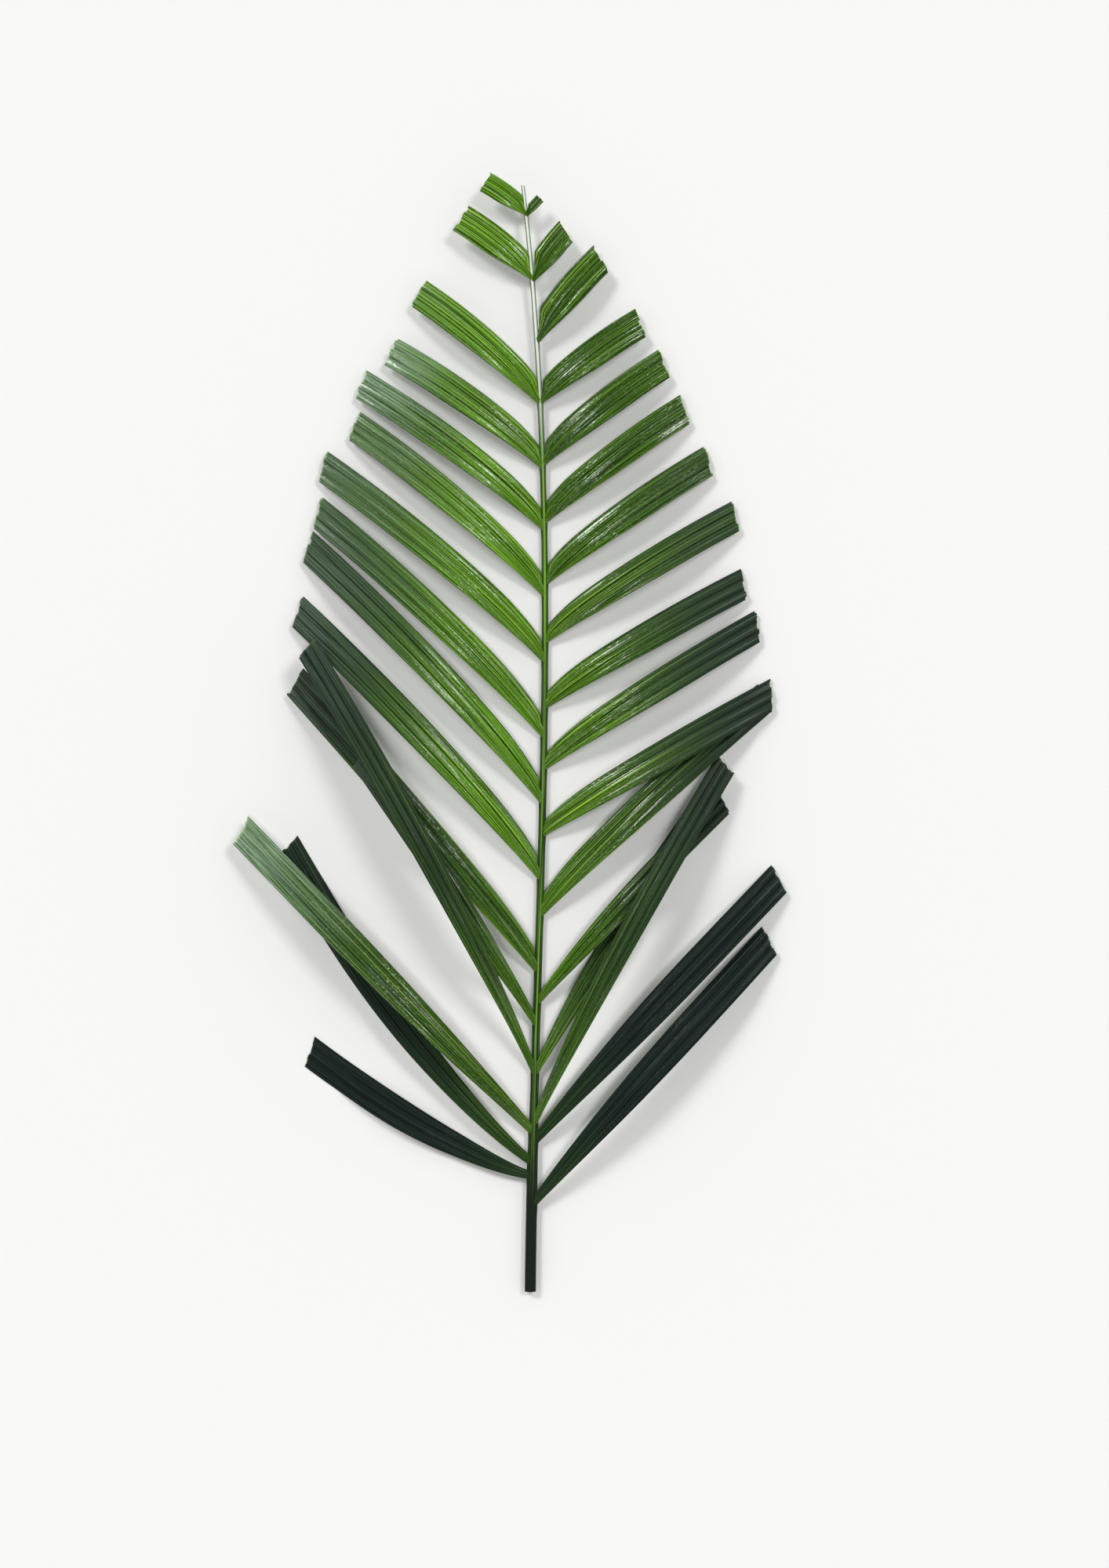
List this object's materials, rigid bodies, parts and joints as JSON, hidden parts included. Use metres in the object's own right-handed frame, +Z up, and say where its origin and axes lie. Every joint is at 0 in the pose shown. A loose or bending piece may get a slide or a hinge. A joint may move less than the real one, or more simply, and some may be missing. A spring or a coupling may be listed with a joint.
{
  "type": "preserved palm leaf",
  "caption": "Preserved palm leaf lying face up: a bare cut stalk that tapers to the tip, with pleated, trimmed leaflets down both sides, for dried arrangements.",
  "frame": {"origin": "on the flat keel under the stalk, below the leaf's weight, at the surface that the leaf lies on", "axes": "+Y along the stalk from its cut end to the leaf's tip, +X to the leaf's right seen from above, +Z up"},
  "size_m": [0.454, 0.9169, 0.0602],
  "materials": {
    "leaf": "satin, ribbed along the leaflets"
  },
  "bodies": {
    "root": {"palm_leaf": "leaf"}
  },
  "joints": []
}
